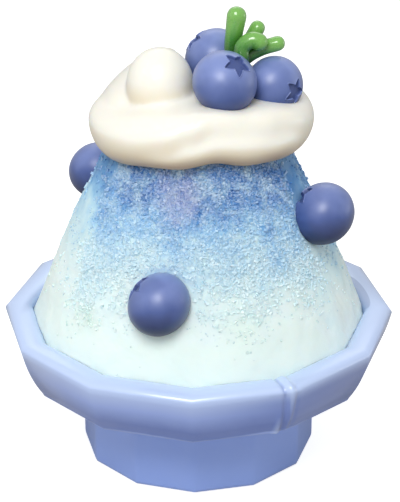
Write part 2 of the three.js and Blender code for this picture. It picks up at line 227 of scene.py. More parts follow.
class BowlSettings(PropertyGroup):
    foot_radius: length("Foot radius", 36.2, "From the axis to a corner of the foot")
    foot_edge: length("Foot edge", 1.6, "Rounding of the foot's lower edge")
    rim_radius: length("Rim radius", 60.0, "From the axis to a corner of the rim, at its widest")
    rim_height: length("Rim height", 44.6, "Height at which the rim is widest")
    crest_radius: length("Crest radius", 55.4, "From the axis to a corner of the lip's crest")
    crest_height: length("Crest height", 46.5, "Height of the lip's crest")
    corner_width: length("Corner width", 1.1, "How far the rounded corners of the foot reach")
    # Painted light: the pale glaze also stands for the light on the lip's top and on the crease's ridges.
    glaze_pale_and_lit: tint("Pale glaze", 0xC2D5FA, "The glaze where it runs thin, on the lip")
    glaze: tint("Glaze", 0x9CB2F0, "The glaze on the upper part of the band")
    # Painted shade: the deep glaze also stands for the shade low on the band, at its right and in the
    # crease's groove.
    glaze_deep_and_shade: tint("Deep glaze", 0x647DC6, "The glaze where it pools, low on the band")
    # Painted shade: this colour darkens the lip's inner slope beside the ice.
    lip_shade: tint("Lip glaze", 0xCED4DE, "What darkens the glaze in patches on the lip's inner slope")
    glaze_foot: tint("Foot glaze", 0x99B4F6, "The glaze on the foot")


class IceSettings(PropertyGroup):
    low_radius: length("Low radius", 55.5, "Radius of the cone 30 mm above the table")
    high_radius: length("High radius", 21.8, "Radius of the cone 110 mm above the table")
    swell: length("Swell", 2.15, "How far the side stands out from a straight cone, half way up")
    top: length("Top", 114.0, "Height of the top of the cone, inside the cream")
    around: IntProperty(name="Columns", description="Faces around the cone", default=440, min=24)
    row: length("Row", 0.6, "Height of a row of faces")
    snow: tint("Snow", 0xEAFFF5, "The pressed, unstained ice at the bottom")
    frost: tint("Frost", 0xEAFFFF, "The ice where the syrup has just reached")
    pale: tint("Pale ice", 0xD2F2FF, "The ice where the syrup is thin")
    middle: tint("Middle ice", 0xA8DAFC, "The ice half way up the stained part")
    blue: tint("Blue ice", 0x77B1E8, "The ice in the upper part")
    stained: tint("Stained ice", 0x5B96D7, "The ice just under the cream")
    blush: tint("Blush", 0xCFC9EC, "The small violet patch under the cream")
    grain_count: IntProperty(name="Grains", description="Loose grains of each kind", default=9200, min=0)


class CreamSettings(PropertyGroup):
    edge_radius: length("Edge radius", 24.2, "From the axis to the middle of the rolled edge")
    roll: length("Roll", 9.4, "How far the rolled edge reaches out from its middle")
    height: length("Height", 110.5, "Height of the middle of the rolled edge")
    rise: length("Rise", 8.4, "From there up to the brow of the edge")
    drop: length("Drop", 8.8, "From there down to the underside")
    crown: length("Crown", 119.8, "Height at the axis")
    cream: tint("Cream", 0xF8F5EA, "The whipped cream")
    # Painted shade: the low cream and the cream underneath stand for the shade on the lower half of the
    # edge and under it.
    shadow: tint("Low cream", 0xEADEC4, "The cream on the lower half of its edge")
    under: tint("Cream underneath", 0xCDAD7E, "The cream under its edge")


class BerrySettings(PropertyGroup):
    squash: amount("Squash", 0.93, "Height along the calyx against the width", min=0.5, max=1.0)
    under: tint("Skin underneath", 0x1A2550, "The berries' skin on their shaded underside")
    skin: tint("Skin", 0x455A98, "The berries' skin half way up")
    # Painted light: the bloom colour also stands for the light on the berries' tops.
    bloom: tint("Bloom", 0x7C8EC8, "The waxy bloom that lies on top of the skin")
    calyx: tint("Calyx", 0x4A5A90, "The hollow of the calyx")


class SprigSettings(PropertyGroup):
    leaf: tint("Green", 0x265C17, "The shoots' lower part")
    middle: tint("Middle green", 0x478D32, "The shoots half way up")
    tip: tint("Tip green", 0x7AB655, "The shoots' tips")


class StageSettings(PropertyGroup):
    focal: amount("Focal length", 158.06, "In millimetres", min=1.0)
    distance: length("Distance", 675.6, "From the camera to the middle of the dessert")
    azimuth: angle("Azimuth", 1.7, "The camera's direction, from the front towards the right")
    elevation: angle("Elevation", 25.3, "The camera's height above the horizon")
    aim_height: length("Aim height", 64.7, "Height of the point in the middle of the view")
    aim_right: length("Aim right", 0.54, "How far to the right of the axis that point is")
    sky: amount("Sky", 0.58, "Strength of the even light", min=0.0)
    key: power("Key", 4.0, "Power of the main light")
    side: power("Side", 0.6, "Power of the light from the left")
    low: power("Low", 0.5, "Power of the low light from the right")
    back: power("Back", 0.9, "Power of the light from behind")


# ---- Measuring helpers ----


def point(values):
    """A point in metres from one in millimetres."""
    return Vector(values) * MM


def outward(azimuth, elevation=0.0):
    """The direction at an azimuth, from the front towards the right, and an elevation, both in radians."""
    level = Vector((math.sin(azimuth), -math.cos(azimuth), 0.0))
    return level * math.cos(elevation) + UP * math.sin(elevation)


def azimuth_of(place):
    return math.atan2(place.x, -place.y)


def fade(value, low, high):
    """0 below low and 1 above high, with a smooth rise between them."""
    share = min(max((value - low) / (high - low), 0.0), 1.0)
    return share * share * (3 - 2 * share)


def within(value, low, full, ends, high):
    """1 from full to ends, with a smooth fall to 0 at low and at high."""
    return fade(value, low, full) * (1 - fade(value, ends, high))


def bend(outline, control, end, steps):
    """Goes on with an outline of (radius, height) along a quadratic curve to its end."""
    corners = tuple(zip(outline[-1], control, end))
    for step in range(1, steps + 1):
        t = step / steps
        outline.append(tuple((1 - t) ** 2 * a + 2 * t * (1 - t) * b + t * t * c for a, b, c in corners))


# ---- Modelling helpers ----


def stop_editing():
    bpy.ops.object.mode_set(mode="OBJECT")


def clear_selection():
    """Leaves edit mode and deselects everything."""
    if bpy.context.mode != "OBJECT":
        stop_editing()
    bpy.ops.object.select_all(action="DESELECT")


def take(piece):
    """Selects one object alone, in object mode, and makes it active."""
    clear_selection()
    piece.select_set(True)
    bpy.context.view_layer.objects.active = piece


def settle():
    """Puts the place, turn and size of the selected object into its mesh."""
    bpy.ops.object.transform_apply(location=True, rotation=True, scale=True)


def begin(name):
    """Names the primitive that was just added and settles it."""
    piece = bpy.context.active_object
    piece.name = piece.data.name = name
    settle()
    return piece


def edit_all(piece):
    """Enters edit mode with everything selected."""
    take(piece)
    bpy.context.tool_settings.mesh_select_mode = (True, False, False)
    bpy.ops.object.mode_set(mode="EDIT")
    bpy.ops.mesh.select_all(action="SELECT")


def pick(piece, kind, wanted):
    """Enters edit mode with only those vertices, edges or faces selected that wanted accepts.

    It is given a vertex's place, an edge's two ends, or a face's centre and normal."""
    take(piece)
    mesh = piece.data
    for group in (mesh.vertices, mesh.edges, mesh.polygons):
        group.foreach_set("select", [False] * len(group))
    places = [v.co for v in mesh.vertices]
    if kind == "VERT":
        for vertex in mesh.vertices:
            vertex.select = wanted(vertex.co)
    elif kind == "EDGE":
        for edge in mesh.edges:
            edge.select = wanted(places[edge.vertices[0]], places[edge.vertices[1]])
    else:
        for face in mesh.polygons:
            face.select = wanted(face.center, face.normal)
    bpy.context.tool_settings.mesh_select_mode = (kind == "VERT", kind == "EDGE", kind == "FACE")
    bpy.ops.object.mode_set(mode="EDIT")


def move(x, y, z):
    """Moves what is selected in edit mode, by millimetres."""
    bpy.ops.transform.translate(value=point((x, y, z)))


def tidy_shell(piece):
    """Merges doubled vertices and points all faces outwards."""
    edit_all(piece)
    bpy.ops.mesh.remove_doubles(threshold=TINY)
    bpy.ops.mesh.normals_make_consistent(inside=False)
    stop_editing()


def draw_chain(name, points):
    """A chain of edges through the points, drawn by extruding its end from each one to the next."""
    clear_selection()
    bpy.ops.mesh.primitive_plane_add(size=MM, location=points[0])
    chain = begin(name)
    edit_all(chain)
    bpy.ops.mesh.merge(type="CENTER")
    for before, after in zip(points, points[1:]):
        bpy.ops.mesh.extrude_region_move(TRANSFORM_OT_translate={"value": after - before})
    stop_editing()
    return chain


def turn(name, outline, steps):
    """A closed turned shape from an outline of (radius, height) in millimetres, its corner at the front."""
    turned = draw_chain(name, [point((0.0, -radius, height)) for radius, height in outline])
    edit_all(turned)
    bpy.ops.mesh.spin(steps=steps, angle=math.tau, center=(0, 0, 0), axis=(0, 0, 1))
    tidy_shell(turned)
    return turned


def apply(piece, kind, **settings):
    """Adds a modifier with these settings and applies it."""
    take(piece)
    modifier = piece.modifiers.new(kind.title(), kind)
    for key, value in settings.items():
        setattr(modifier, key, value)
    bpy.ops.object.modifier_apply(modifier=modifier.name)


def copy_of(piece, name):
    """A copy of a piece with its own mesh."""
    twin = piece.copy()
    twin.data = piece.data.copy()
    twin.name = twin.data.name = name
    bpy.context.collection.objects.link(twin)
    return twin


def join(pieces):
    """Joins the pieces into the first one."""
    take(pieces[0])
    for piece in pieces[1:]:
        piece.select_set(True)
    bpy.ops.object.join()
    return pieces[0]


def discard(piece):
    mesh = piece.data
    bpy.data.objects.remove(piece)
    if mesh.users == 0:
        bpy.data.meshes.remove(mesh)


def carve(piece, cutter, operation="DIFFERENCE"):
    """Cuts a piece with a cutter, which is used up."""
    apply(piece, "BOOLEAN", operation=operation, object=cutter, solver="EXACT")
    discard(cutter)


def press_berries(piece, names):
    """Cuts the room of these berries out of a piece."""
    cutters = [copy_of(bpy.data.objects["blueberry_" + name], "cutter_" + name) for name in names]
    carve(piece, join(cutters))


def relief(piece, name, kind, size, strength, group="", **settings):
    """Displaces a piece along its normals by a procedural texture, with its size and strength in mm."""
    texture = bpy.data.textures.new(name, kind)
    texture.noise_scale = size * MM
    for key, value in settings.items():
        setattr(texture, key, value)
    facts = {"texture": texture, "texture_coords": "LOCAL", "mid_level": 0.5, "vertex_group": group}
    apply(piece, "DISPLACE", strength=strength * MM, **facts)


def paint(piece, name, value_at):
    """Stores a number on each vertex, worked out from its place and normal."""
    piece.vertex_groups.clear()
    attributes = piece.data.attributes
    if name in attributes:
        attributes.remove(attributes[name])
    values = [value_at(vertex.co, vertex.normal) for vertex in piece.data.vertices]
    attributes.new(name, "FLOAT", "POINT").data.foreach_set("value", values)


def paint_upward(piece):
    """Stores how far each vertex faces up: 0 for straight down, 1 for straight up."""
    paint(piece, "upward", lambda place, normal: 0.5 + 0.5 * normal.z)


def weigh(piece, name, value_at):
    """A vertex group whose weights are worked out from the vertices' places."""
    group = piece.vertex_groups.new(name=name)
    for vertex in piece.data.vertices:
        weight = value_at(vertex.co)
        if weight > 0:
            group.add([vertex.index], weight, "REPLACE")


def soften(piece, limit):
    """Smooth shading, except across edges sharper than the limit in degrees."""
    take(piece)
    bpy.ops.object.shade_smooth_by_angle(angle=math.radians(limit))


def hand_over(piece, material, nodes):
    """Dresses a finished piece with its material, ties it to the model's body and hides the model's nodes
    it stands in for.
    """
    piece.data.materials.clear()
    piece.data.materials.append(material)
    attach(piece, BODY)
    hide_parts(*nodes)


# ---- Material helpers ----


def feed(tree, node, inputs):
    """Sets each input's value on its own socket, or links an output socket to it."""
    for key, value in inputs.items():
        if isinstance(value, bpy.types.NodeSocket):
            tree.links.new(value, node.inputs[key])
        else:
            node.inputs[key].default_value = value
    return node


def add(tree, kind, inputs, **settings):
    """Adds a node with these inputs and settings."""
    made = tree.nodes.new(kind)
    for key, value in settings.items():
        setattr(made, key, value)
    return feed(tree, made, inputs)


def mix(tree, factor, first, second, blend="MIX"):
    """A colour between two colours."""
    inputs = {0: factor, 6: first, 7: second}
    return add(tree, "ShaderNodeMix", inputs, data_type="RGBA", blend_type=blend).outputs[2]


def dyed(tree, colour, dye):
    """A colour multiplied by another."""
    return mix(tree, 1.0, colour, dye, "MULTIPLY")


def maths(tree, operation, first, second):
    return add(tree, "ShaderNodeMath", {0: first, 1: second}, operation=operation).outputs[0]


def times(tree, first, second):
    return maths(tree, "MULTIPLY", first, second)


def remap(tree, value, low, high, to_low=0.0, to_high=1.0, smooth=False):
    """The value moved from one range to another and held inside it."""
    inputs = {"Value": value, "From Min": low, "From Max": high, "To Min": to_low, "To Max": to_high}
    kind = "SMOOTHSTEP" if smooth else "LINEAR"
    return add(tree, "ShaderNodeMapRange", inputs, interpolation_type=kind).outputs["Result"]


def between(tree, share, at_none, at_full):
    """A value between two others, by a share from 0 to 1."""
    return remap(tree, share, 0.0, 1.0, at_none, at_full)


def blend_of(tree, factor, colours, stops):
    """A colour ramp through (position, name) stops, by the names of the settings' colours."""
    made = add(tree, "ShaderNodeValToRGB", {"Fac": factor})
    ramp = made.color_ramp
    ramp.elements[0].position, ramp.elements[1].position = stops[0][0], stops[-1][0]
    for position, name in stops[1:-1]:
        ramp.elements.new(position)
    for element, (position, name) in zip(ramp.elements, stops):
        element.color = getattr(colours, name)
    return made.outputs["Color"]


def speckle(tree, places, scale, detail=2.0, roughness=0.5):
    inputs = {"Vector": places, "Scale": scale, "Detail": detail, "Roughness": roughness}
    return add(tree, "ShaderNodeTexNoise", inputs).outputs["Fac"]


def split(tree, places):
    """The X, Y and Z of places."""
    return add(tree, "ShaderNodeSeparateXYZ", {0: places}).outputs


def stored(tree, name):
    """A number that was painted on the piece."""
    return add(tree, "ShaderNodeAttribute", {}, attribute_name=name).outputs["Fac"]


def shared_group(name, inputs, outputs, inside):
    """A node group, built once, whose inputs are a place and numbers, and whose outputs inside makes."""
    if name in bpy.data.node_groups:
        return bpy.data.node_groups[name]
    group = bpy.data.node_groups.new(name, "ShaderNodeTree")
    group.interface.new_socket(name="Place", in_out="INPUT", socket_type="NodeSocketVector")
    for label, default in inputs.items():
        socket = group.interface.new_socket(name=label, in_out="INPUT", socket_type="NodeSocketFloat")
        socket.default_value = default
    for label in outputs:
        group.interface.new_socket(name=label, in_out="OUTPUT", socket_type="NodeSocketFloat")
    made = inside(group, group.nodes.new("NodeGroupInput").outputs)
    feed(group, group.nodes.new("NodeGroupOutput"), dict(zip(outputs, made)))
    return group


def rising_blend(tree, places, low, high, raggedness, scale):
    """Shared: a mask that rises from 0 to 1 between two heights, with a ragged border."""

    def inside(group, given):
        wander = maths(group, "SUBTRACT", speckle(group, given["Place"], given["Scale"], 3.0), 0.5)
        height = split(group, given["Place"])["Z"]
        lifted = maths(group, "ADD", height, times(group, wander, given["Raggedness"]))
        return [remap(group, lifted, given["Low"], given["High"])]

    defaults = {"Low": 0.0, "High": 0.1, "Raggedness": 0.004, "Scale": 80.0}
    group = shared_group("Rising blend", defaults, ["Mask"], inside)
    inputs = {"Place": places, "Low": low, "High": high, "Raggedness": raggedness, "Scale": scale}
    return add(tree, "ShaderNodeGroup", inputs, node_tree=group).outputs["Mask"]


def fine_grain(tree, places, scale, contrast, second_scale):
    """Shared: a small relief, and a mask with the same grain, for bloom, crystals and glaze."""

    def inside(group, given):
        small = speckle(group, given["Place"], given["Scale"], 3.0, 0.6)
        large = speckle(group, given["Place"], given["Second scale"])
        both = maths(group, "ADD", times(group, small, 0.6), times(group, large, 0.4))
        low = maths(group, "SUBTRACT", 0.5, given["Contrast"])
        high = maths(group, "ADD", 0.5, given["Contrast"])
        return [both, remap(group, both, low, high, smooth=True)]

    defaults = {"Scale": 400.0, "Contrast": 0.3, "Second scale": 90.0}
    group = shared_group("Fine grain", defaults, ["Height", "Mask"], inside)
    inputs = {"Place": places, "Scale": scale, "Contrast": contrast, "Second scale": second_scale}
    return add(tree, "ShaderNodeGroup", inputs, node_tree=group).outputs


def new_material(name, subsurface=(), **constants):
    """A material with its Principled BSDF, whose constant values are set on its own sockets.

    Subsurface holds the weight, the three radii and the scale in metres."""
    material = bpy.data.materials.new(name)
    material.use_nodes = True
    tree = material.node_tree
    shader = tree.nodes["Principled BSDF"]
    constants.update(zip(("Subsurface_Weight", "Subsurface_Radius", "Subsurface_Scale"), subsurface))
    feed(tree, shader, {key.replace("_", " "): value for key, value in constants.items()})
    return material, tree, shader, add(tree, "ShaderNodeTexCoord", {}).outputs["Object"]


def bump(tree, height, strength, distance):
    """A normal that follows a height; the distance is in millimetres."""
    inputs = {"Height": height, "Strength": strength, "Distance": distance * MM}
    return add(tree, "ShaderNodeBump", inputs).outputs["Normal"]


# ---- Bowl ----


def add_well(outline, inset):
    """Goes on from the bowl's inner edge down its inside to the axis, drawn inset clear of the wall."""
    side = INNER_EDGE[0] - inset
    shoulder = (WELL_SHOULDER[0], WELL_SHOULDER[1] + inset)
    narrow = WELL_SIDE - inset
    floor = WELL_FLOOR[1] + inset
    bend(outline, (side - WELL_SLOPE, shoulder[1]), shoulder, 8)
    bend(outline, (narrow, shoulder[1]), (narrow, shoulder[1] - 8), 4)
    outline.append((narrow - 0.6, floor + 5))
    bend(outline, (narrow - 1, floor), (WELL_FLOOR[0], floor), 4)
    outline.append((0, floor))


def bowl_outline(bowl):
    """The bowl's section, from the axis under its foot, up the outside, over the lip and down the well."""
    foot, edge = bowl.foot_radius / MM, bowl.foot_edge / MM
    rim = (bowl.rim_radius / MM, bowl.rim_height / MM)
    crest = (bowl.crest_radius / MM, bowl.crest_height / MM)
    outline = [(0, 0), (foot - edge, 0)]
    bend(outline, (foot, 0), (foot, edge), 4)
    outline.append((foot, BOWL_UNDER - NECK_ROUND))
    bend(outline, (foot, BOWL_UNDER), (foot + NECK_ROUND, BOWL_UNDER), 3)
    outline.append((BAND_LOW[0] - BAND_ROUND[0], BOWL_UNDER))
    bend(outline, (BAND_LOW[0], BOWL_UNDER), (BAND_LOW[0] + BAND_ROUND[1], BAND_LOW[1]), 4)
    bend(outline, BAND_MIDDLE, rim, 8)
    bend(outline, (rim[0] - CREST_ROUND[0], crest[1]), crest, 8)
    bend(outline, (INNER_EDGE[0] + CREST_ROUND[1], crest[1]), INNER_EDGE, 8)
    add_well(outline, 0)
    return outline


def crease_the_rim(piece):
    """Pinches a slanting groove into the lip and the band, with a fold on each side of it."""
    turned = math.radians(CREASE["azimuth"])
    out = outward(turned)
    across = Vector((math.cos(turned), math.sin(turned), CREASE["slant"]))
    middle = CREASE["slant"] * CREASE["top"] * MM
    reach, strip = CREASE["reach"] * MM, CREASE["strip"] * MM

    def beside(place):
        return place.dot(across) - middle

    def near(place):
        return place.dot(out) > CREASE_CUT_FROM * MM and place.z > (BOWL_UNDER - 0.5) * MM

    def along_the_crease(a, b):
        return near(a) and near(b) and abs(beside(a)) < reach and abs(beside(a) - beside(b)) < TINY

    steps = int(reach / strip)
    for step in range(-steps, steps + 1):
        pick(piece, "FACE", lambda centre, normal: near(centre))
        on_cut = across.normalized() * (middle + step * strip) / across.length
        bpy.ops.mesh.bisect(plane_co=on_cut, plane_no=across)
    pick(piece, "EDGE", along_the_crease)
    bpy.ops.mesh.subdivide(number_cuts=2)
    stop_editing()

    def fold_at(place):
        """How far the folds stand out at a place, in millimetres."""
        if not near(place) or place.dot(out) < CREASE_FOLDED_FROM * MM or abs(beside(place)) > reach:
            return 0.0
        height = 0.0
        for low, high in CREASE_FOLDS:
            share = (place.z / MM - low[0]) / (high[0] - low[0])
            if 0 <= share <= 1:
                line, push, width = (x + (y - x) * share for x, y in zip(low[1:], high[1:]))
                height += push * math.exp(-(((beside(place) / MM - line) / width) ** 2))
        return height

    # The folds' heights are kept for the glaze, which paints shade in the groove and a highlight on the
    # ridges.
    paint(piece, "fold", lambda place, normal: 0.5 + 0.5 * fold_at(place))
    for vertex in piece.data.vertices:
        lift = math.radians(90) * fade(vertex.co.z / MM, *CREASE_LIP)
        vertex.co += outward(turned, lift) * fold_at(vertex.co) * MM
    piece.data.update()


def glaze_material(bowl):
    """Glaze that runs thin and pale on the lip and the crease's ridges, where it also paints light, and
    pools dark low on the band, where it also paints shade;
    more painted shade lies at the band's right, in the crease's groove and in patches on the lip's inner
    slope.
    """
    material, tree, shader, places = new_material(
        "Periwinkle glaze", IOR=1.5, Coat_Roughness=0.25, Specular_IOR_Level=0.5
    )
    rise = rising_blend(tree, places, 0.004, 0.046, 0.003, 45.0)
    grain = fine_grain(tree, places, 240.0, 0.28, 45.0)
    # The glaze runs thin on the lip and pools low on the band; this ramp also paints light on the lip and
    # shade low on the band.
    foot = ((0.0, "glaze_foot"), (0.555, "glaze_foot"))
    band = ((0.572, "glaze"), (0.59, "glaze_deep_and_shade"), (0.67, "glaze_deep_and_shade"), (0.82, "glaze"))
    lip = ((0.99, "glaze_pale_and_lit"), (1.0, "glaze_pale_and_lit"))
    walls = blend_of(tree, rise, bowl, foot + band + lip)
    mottled = mix(tree, times(tree, grain["Mask"], 0.08), walls, bowl.glaze_pale_and_lit)
    place = split(tree, places)
    # Painted shade: the band is darker towards its right side.
    above = remap(tree, place["Z"], 0.030, 0.036, smooth=True)
    below = remap(tree, place["Z"], 0.046, 0.040, smooth=True)
    rightwards = remap(tree, place["X"], -0.004, 0.042, 0.0, 0.9, smooth=True)
    right_band_shade = times(tree, times(tree, above, below), rightwards)
    # In the crease the glaze pools in the groove and thins on the ridges; this also paints shade in the
    # groove and a highlight on the ridges.
    fold = stored(tree, "fold")
    deep = maths(tree, "MAXIMUM", right_band_shade, remap(tree, fold, 0.45, 0.1, 0.0, 0.85))
    pooled_and_shaded = mix(tree, deep, mottled, bowl.glaze_deep_and_shade)
    glaze_lit_and_shaded = mix(tree, remap(tree, fold, 0.55, 0.9, 0.0, 0.8), pooled_and_shaded, bowl.glaze_pale_and_lit)
    # Painted shade in patches on the lip's inner slope beside the ice.
    for patch in LIP_SHADE_PATCHES:
        fitting = {
            "Vector": places,
            "Location": point(patch["at"]),
            "Rotation": (0.0, 0.0, math.radians(patch["turn"])),
            "Scale": point(patch["size"]),
        }
        inside = add(tree, "ShaderNodeMapping", fitting, vector_type="TEXTURE").outputs["Vector"]
        away = add(tree, "ShaderNodeVectorMath", {0: inside}, operation="LENGTH").outputs["Value"]
        dark = remap(tree, away, 1.0, patch["core"], 0.0, patch["share"], smooth=True)
        glaze_lit_and_shaded = mix(tree, dark, glaze_lit_and_shaded, dyed(tree, glaze_lit_and_shaded, bowl.lip_shade))
    feed(tree, shader, {
        "Base Color": glaze_lit_and_shaded,
        "Roughness": between(tree, grain["Mask"], 0.27, 0.36),
        "Coat Weight": between(tree, rise, 0.4, 0.9),
        "Normal": bump(tree, grain["Height"], 0.08, 0.15),
    })
    return material


class DESSERT_OT_bowl(Operator):
    """Makes the twelve-sided glazed bowl with its foot and the crease in its rim"""

    bl_idname = "dessert.bowl"
    bl_label = "Bowl"

    def execute(self, context):
        bowl = context.scene.dessert_bowl
        piece = turn("glazed_bowl", bowl_outline(bowl), FACETS)

        def on_foot_corner(a, b):
            level = abs(math.remainder(azimuth_of(a) - azimuth_of(b), math.tau)) < 0.01
            return level and all(0.99 < place.xy.length / bowl.foot_radius < 1.01 for place in (a, b))

        pick(piece, "EDGE", on_foot_corner)
        bpy.ops.mesh.bevel(
            offset=bowl.corner_width, segments=FOOT_CORNER_STEPS, profile=0.5, clamp_overlap=False
        )
        stop_editing()
        crease_the_rim(piece)
        tidy_shell(piece)
        soften(piece, 42)
        hand_over(piece, glaze_material(bowl), ["bowl"])
        return {"FINISHED"}


# ---- Shaved ice ----


def cone_radius(ice, height):
    """Radius of the ice at a height, both in millimetres."""
    up = (height - CONE_HEIGHTS[0]) / (CONE_HEIGHTS[1] - CONE_HEIGHTS[0])
    straight = ice.low_radius / MM * (1 - up) + ice.high_radius / MM * up
    return straight + ice.swell / MM * 4 * up * (1 - up)


def cone_outline(ice, row):
    """The outline of the ice from the axis at the table, up the side and over the rounded top."""
    top = ice.top / MM
    heights = [0.0, ICE_HIDDEN_BELOW / 2]
    height = ICE_HIDDEN_BELOW
    while height < ICE_HIDDEN_ABOVE:
        heights.append(height)
        height += row
    heights += [ICE_HIDDEN_ABOVE, top - ICE_TOP_ROUND]
    outline = [(0.0, 0.0)]
    outline += [(cone_radius(ice, height), height) for height in heights]
    widest = outline[-1][0]
    bend(outline, (widest - ICE_TOP_IN[0], top), (widest - ICE_TOP_IN[1], top), 4)
    outline.append((0.0, top))
    return outline


def well_space_outline(bowl):
    """All the room that the ice may take: the well of the bowl and everything above its lip."""
    crest = (bowl.crest_radius / MM, bowl.crest_height / MM + WELL_GAP)
    rim = bowl.rim_radius / MM
    outline = [(0.0, WELL_LID), (rim, WELL_LID), (rim, crest[1]), crest]
    edge = INNER_EDGE[0] - WELL_GAP
    bend(outline, (edge + CREST_ROUND[1], crest[1]), (edge, INNER_EDGE[1]), 6)
    add_well(outline, WELL_GAP)
    return outline


def berry_clearance(place, grow):
    """From 0 on a berry that lies in the ice to 1 at some distance from all of them."""
    berries = [BERRIES[name] for name in ICE_BERRIES]
    away = min((place - point(berry["at"])).length / MM - berry["radius"] for berry in berries)
    return fade(away, 0.0, grow)


def waver(place, reach, size):
    """A soft random number of up to reach either way, which changes over a size in millimetres."""
    return reach * noise.noise(place / (size * MM))


def graininess(place):
    """How coarse the ice is at a place: 1 where crystals lie bare, 0 where it is pressed smooth."""
    azimuth = azimuth_of(place)
    wander = waver(place, 8.0, 17) + waver(place, 5.0, 5)
    border = COARSE_BORDER + 4.0 * math.sin(2.1 * azimuth + 1.2) + wander
    flank = math.degrees(abs(azimuth)) + waver(place, 9.0, 9)
    return fade(place.z / MM - border, *COARSE_FADE) * (1 - SMOOTH_SHARE * within(flank, *SMOOTH_FLANKS))


def ice_colour(tree, places, ice, patchiness):
    """The syrup's stain: pale at the bottom, deep blue under the cream, with soft patches and a blush."""
    tilt = {"Vector": places, "Angle": math.radians(-1.5)}
    leaned = add(tree, "ShaderNodeVectorRotate", tilt, rotation_type="Y_AXIS").outputs["Vector"]
    # Painted shade: the stain reaches further down on the right flank, so that side is bluer and darker.
    sunk = remap(tree, split(tree, places)["X"], 0.031, 0.040, 0.0, 0.009)
    lower = add(tree, "ShaderNodeCombineXYZ", {"Z": sunk}).outputs["Vector"]
    leaned = add(tree, "ShaderNodeVectorMath", {0: leaned, 1: lower}, operation="ADD").outputs["Vector"]
    rise = rising_blend(tree, leaned, 0.056, 0.104, 0.032, 90.0)
    low = ((0.0, "snow"), (0.17, "frost"), (0.46, "pale"))
    high = ((0.61, "middle"), (0.72, "blue"), (0.84, "stained"))
    stain = blend_of(tree, rise, ice, low + high)
    blotch = times(tree, remap(tree, speckle(tree, places, 210.0, 3.0), 0.45, 0.61), patchiness)
    patchy = mix(tree, times(tree, blotch, times(tree, rise, 0.62)), stain, ice.pale)
    centre = {0: places, 1: point(ICE_BLUSH_AT)}
    away = add(tree, "ShaderNodeVectorMath", centre, operation="DISTANCE").outputs["Value"]
    frayed = maths(tree, "ADD", away, times(tree, speckle(tree, places, 220.0), 0.012))
    blush = remap(tree, frayed, 0.0165, 0.008, 0.0, 0.45, smooth=True)
    return mix(tree, blush, patchy, ice.blush), rise


def stain_share(tree, rise, most):
    """How strongly dark crystals stand out: faintly in the pale ice, and most of all in the stained."""
    return remap(tree, rise, 0.25, 0.95, 0.38 * most, most)


def core_material(ice):
    """Smooth ice with a dull syrup stain, and bare crystals in light and dark where it is grainy."""
    material, tree, shader, places = new_material(
        "Shaved ice", (0.5, (0.7, 0.9, 1.0), 0.0025), IOR=1.31, Specular_IOR_Level=0.3
    )
    grainy = stored(tree, "grainy")
    colour, rise = ice_colour(tree, places, ice, remap(tree, grainy, 0.0, 0.8, 0.2, 1.0))
    grain = fine_grain(tree, places, 480.0, 0.17, 200.0)
    bright = mix(tree, 0.35, colour, ice.snow)
    dark = mix(tree, stain_share(tree, rise, 1.0), colour, dyed(tree, colour, shade(0xA8C4E4)))
    crystals = mix(tree, grain["Mask"], dark, bright)
    dull = mix(tree, rise, colour, dyed(tree, colour, shade(0xFFF6EC)))
    feed(tree, shader, {
        "Base Color": mix(tree, grainy, dull, crystals),
        "Roughness": between(tree, grainy, 0.55, 0.4),
        "Normal": bump(tree, grain["Height"], 0.4, 0.3),
    })
    return material


class DESSERT_OT_ice(Operator):
    """Makes the cone of shaved ice, pressed smooth at the bottom and coarse higher up"""

    bl_idname = "dessert.ice"
    bl_label = "Shaved ice"

    def execute(self, context):
        ice = context.scene.dessert_ice
        piece = turn("ice_core", cone_outline(ice, ice.row / MM), ice.around)
        weigh(piece, "seen", lambda place: fade(place.z / MM, *ICE_SEEN_FROM))
        weigh(piece, "grainy", graininess)
        relief(piece, "Soft lumps", "CLOUDS", 9.0, 1.0, "seen", noise_depth=1)
        relief(piece, "Snow", "CLOUDS", 1.6, 0.22, "seen", noise_depth=2)
        relief(piece, "Crystals", "VORONOI", 2.0, 0.8, "grainy")
        relief(piece, "Fine crystals", "CLOUDS", 1.0, 0.4, "grainy", noise_depth=1)
        room = well_space_outline(context.scene.dessert_bowl)
        carve(piece, turn("well_space", room, FACETS), "INTERSECT")
        press_berries(piece, ICE_BERRIES)
        paint(piece, "grainy", lambda place, normal: graininess(place))
        tidy_shell(piece)
        soften(piece, 70)
        hand_over(piece, core_material(ice), ["shaved_ice"])
        return {"FINISHED"}


# ---- Loose grains ----


def flake():
    """A flat splinter of ice, 1 mm long and narrower at one end."""
    clear_selection()
    bpy.ops.mesh.primitive_cube_add(size=MM, scale=(1.0, 0.42, 0.26))
    grain = begin("grain_flake")
    pick(grain, "FACE", lambda centre, normal: normal.x > 0.9)
    bpy.ops.transform.resize(value=(1.0, 0.35, 0.5))
    pick(grain, "FACE", lambda centre, normal: normal.x < -0.9)
    move(0.0, 0.06, 0.05)
    stop_editing()
    return grain


def nub():
    """A blunt four-sided crystal, 1 mm across."""
    clear_selection()
    bpy.ops.mesh.primitive_cone_add(vertices=4, radius1=0.5 * MM, radius2=0.24 * MM, depth=0.5 * MM)
    grain = begin("grain_nub")
    pick(grain, "VERT", lambda place: place.z > 0.2 * MM)
    move(0.08, 0.05, 0.1)
    stop_editing()
    return grain


def random_number(tree, seed, low=0.0, high=1.0):
    """A random number for each copy."""
    inputs = {2: low, 3: high, "Seed": seed}
    return add(tree, "FunctionNodeRandomValue", inputs, data_type="FLOAT").outputs[1]


